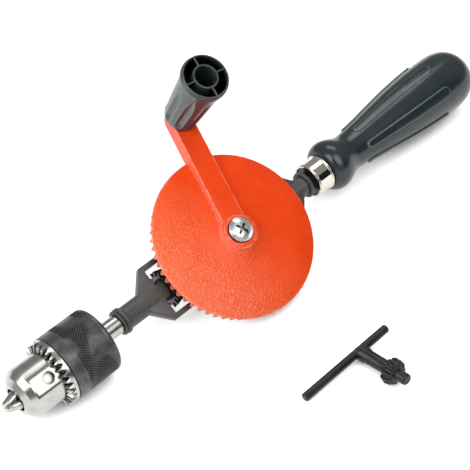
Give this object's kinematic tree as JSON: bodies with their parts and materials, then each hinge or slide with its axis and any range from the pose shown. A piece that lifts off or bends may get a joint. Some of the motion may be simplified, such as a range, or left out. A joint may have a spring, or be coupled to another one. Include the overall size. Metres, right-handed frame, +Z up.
{
  "type": "hand drill",
  "caption": "Hand drill with a cranked bevel gear wheel, open cast frame, keyed jaw chuck, ribbed grip handle and a loose chuck key beside it.",
  "frame": {"origin": "on the bench surface, under the middle of the bounding box of drill and key together", "axes": "+X from the chuck towards the handle, +Z up, +Y away from the side that the chuck key lies on"},
  "size_m": [0.326, 0.1678, 0.1126],
  "materials": {
    "orange_cast_paint": "orange paint over a cast surface",
    "dark_cast_paint": "dark grey paint over a cast surface",
    "handle_plastic": "glossy blue-black moulding",
    "knob_plastic": "grey-green moulding",
    "bright_steel": "turned and polished",
    "black_oxide_steel": "black oxide, knurled",
    "nickel_plate": "bright plating",
    "zinc_plate": "bright zinc plating",
    "plain_steel": "plain steel",
    "black_key_steel": "black oxide"
  },
  "bodies": {
    "frame_body": {"frame": "dark_cast_paint", "wheel_screw": "zinc_plate", "screw_washer": "zinc_plate", "wheel_bush": "plain_steel", "wheel_thrust_washer": "plain_steel", "spindle_washer": "dark_cast_paint", "idler_pin": "plain_steel", "idler_spacer": "plain_steel", "ferrule": "nickel_plate", "handle": "handle_plastic"},
    "wheel_body": {"drive_wheel": "orange_cast_paint", "knob_pin": "plain_steel", "knob_washer": "plain_steel"},
    "knob_body": {"crank_knob": "knob_plastic"},
    "spindle_body": {"spindle": "bright_steel", "drive_pinion": "plain_steel", "pinion_pin": "plain_steel", "chuck_body": "bright_steel"},
    "idler_body": {"idler_pinion": "plain_steel"},
    "sleeve_body": {"chuck_sleeve": "black_oxide_steel", "chuck_gear_ring": "bright_steel", "chuck_nut_half_1": "plain_steel", "chuck_nut_half_2": "plain_steel"},
    "jaw_1_body": {"jaw_1": "bright_steel"},
    "jaw_2_body": {"jaw_2": "bright_steel"},
    "jaw_3_body": {"jaw_3": "bright_steel"},
    "key_set": {"key_body": "black_key_steel", "key_bar": "black_key_steel"}
  },
  "joints": [
    {"name": "wheel_spin", "type": "hinge", "parent": "frame_body", "child": "wheel_body", "pos_m": [-0.02517, 0.03602, 0.01734], "axis": [-0.0022, -0.5908, 0.8068], "continuous": true},
    {"name": "spindle_spin", "type": "hinge", "parent": "frame_body", "child": "spindle_body", "pos_m": [-0.02517, 0.03602, 0.01734], "axis": [1, 0, 0.0027], "continuous": true},
    {"name": "idler_spin", "type": "hinge", "parent": "frame_body", "child": "idler_body", "pos_m": [-0.02517, 0.03602, 0.01734], "axis": [1, 0, 0.0027], "continuous": true},
    {"name": "knob_spin", "type": "hinge", "parent": "wheel_body", "child": "knob_body", "pos_m": [-0.01028, 0.07498, 0.07099], "axis": [0.0119, -0.5418, 0.8404], "continuous": true},
    {"name": "sleeve_turn", "type": "hinge", "parent": "spindle_body", "child": "sleeve_body", "pos_m": [-0.02517, 0.03602, 0.01734], "axis": [1, 0, 0.0027], "range_deg": [0, 3590]},
    {"name": "jaw_1_slide", "type": "slide", "parent": "spindle_body", "child": "jaw_1_body", "axis": [0.9738, 0.0687, 0.2169], "range_m": [0, 0.02]},
    {"name": "jaw_2_slide", "type": "slide", "parent": "spindle_body", "child": "jaw_2_body", "axis": [0.9748, 0.1511, -0.1639], "range_m": [0, 0.02]},
    {"name": "jaw_3_slide", "type": "slide", "parent": "spindle_body", "child": "jaw_3_body", "axis": [0.9745, -0.2199, -0.0449], "range_m": [0, 0.02]},
    {"name": "key_lift", "type": "slide", "parent": "frame_body", "child": "key_set", "axis": [0, 0, 1], "range_m": [0, 0.12]}
  ],
  "couplings": [
    {"joint": "spindle_spin", "follows": "wheel_spin", "ratio": 4.2857},
    {"joint": "idler_spin", "follows": "wheel_spin", "ratio": -4.2857},
    {"joint": "jaw_1_slide", "follows": "sleeve_turn", "m_per_rad": 0.00031831},
    {"joint": "jaw_2_slide", "follows": "sleeve_turn", "m_per_rad": 0.00031831},
    {"joint": "jaw_3_slide", "follows": "sleeve_turn", "m_per_rad": 0.00031831}
  ]
}
